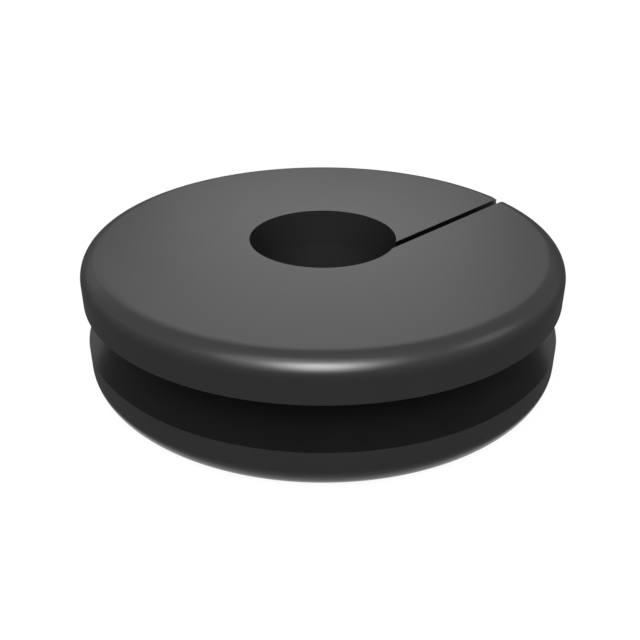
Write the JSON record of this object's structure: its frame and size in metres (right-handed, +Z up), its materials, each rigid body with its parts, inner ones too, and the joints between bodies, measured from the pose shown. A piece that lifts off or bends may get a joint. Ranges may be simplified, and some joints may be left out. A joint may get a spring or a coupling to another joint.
{
  "type": "rubber grommet",
  "caption": "Split rubber cable grommet: a ring with equal round flanges, a panel groove between them, a cable bore, and a straight slit from the bore to the rim.",
  "frame": {"origin": "on the bore's axis, at the flat face of the lower flange", "axes": "+Z up along the bore's axis; the slit runs out towards +X, on the -Y side of the axis"},
  "size_m": [0.026, 0.026, 0.0069],
  "materials": {
    "rubber": "moulded, satin"
  },
  "bodies": {
    "root": {"grommet": "rubber"}
  },
  "joints": []
}
